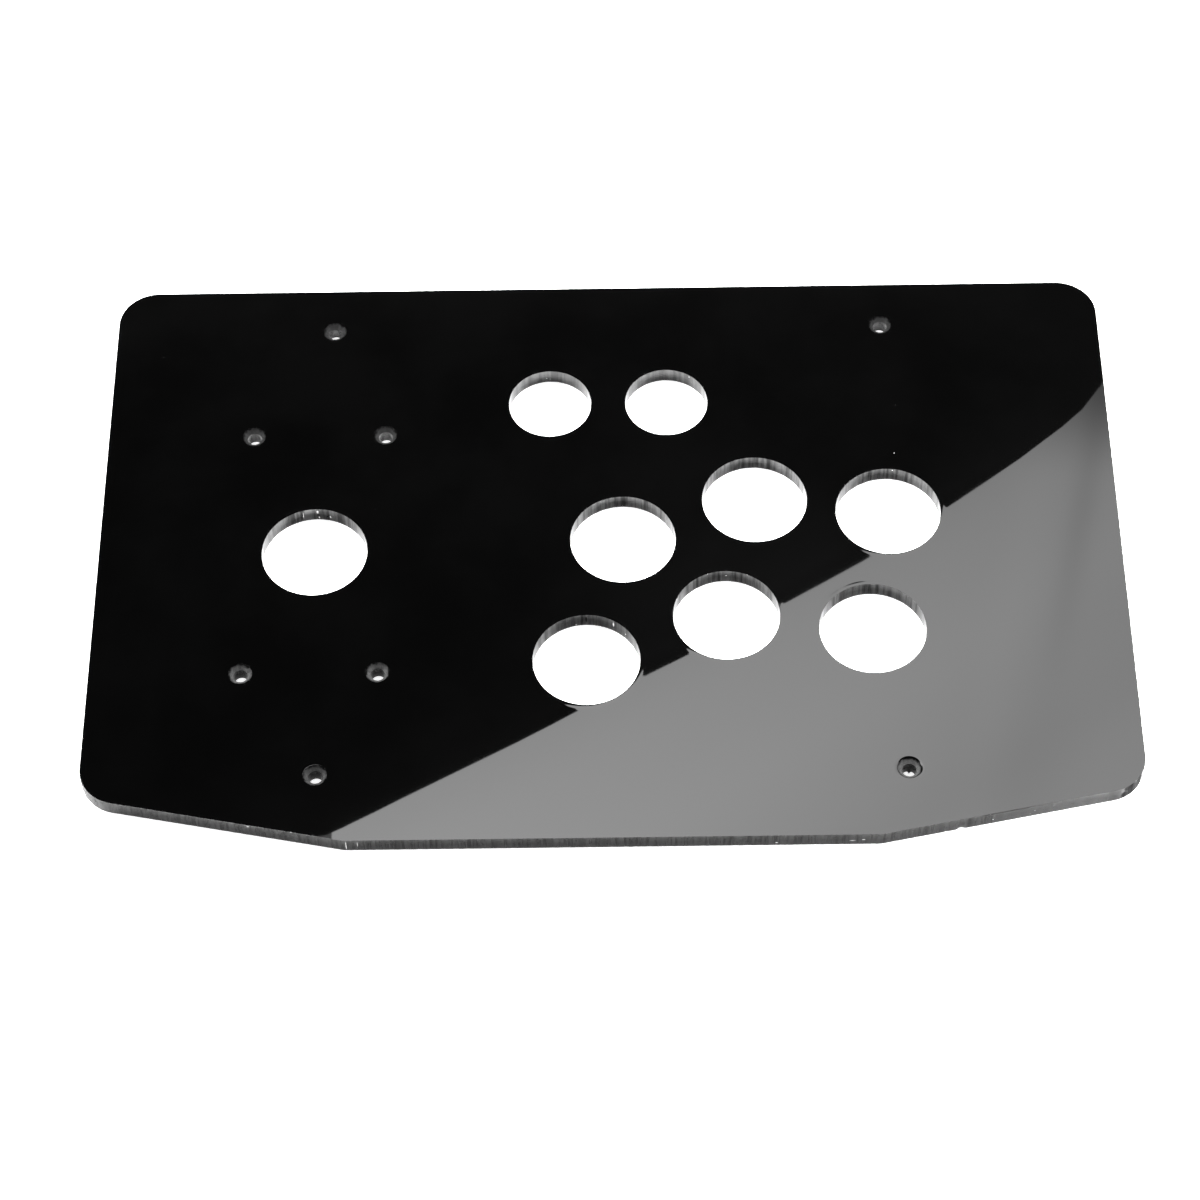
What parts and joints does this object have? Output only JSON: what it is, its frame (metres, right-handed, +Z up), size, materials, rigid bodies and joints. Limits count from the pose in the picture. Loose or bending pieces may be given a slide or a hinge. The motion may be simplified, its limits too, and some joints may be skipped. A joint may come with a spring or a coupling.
{
  "type": "arcade control panel plate",
  "caption": "Flat glossy black plate with rounded corners and a shallow three-part front edge, holed for a joystick lever, main and menu push buttons, with countersunk fixing holes.",
  "frame": {"origin": "centre of the bounding rectangle of the underside, on the plane the panel rests on", "axes": "+X to the player's right, +Y to the rear edge, away from the player, +Z up out of the glossy face"},
  "size_m": [0.291, 0.192, 0.005],
  "materials": {
    "black_acrylic": "gloss"
  },
  "bodies": {
    "root": {"control_panel": "black_acrylic"}
  },
  "joints": []
}
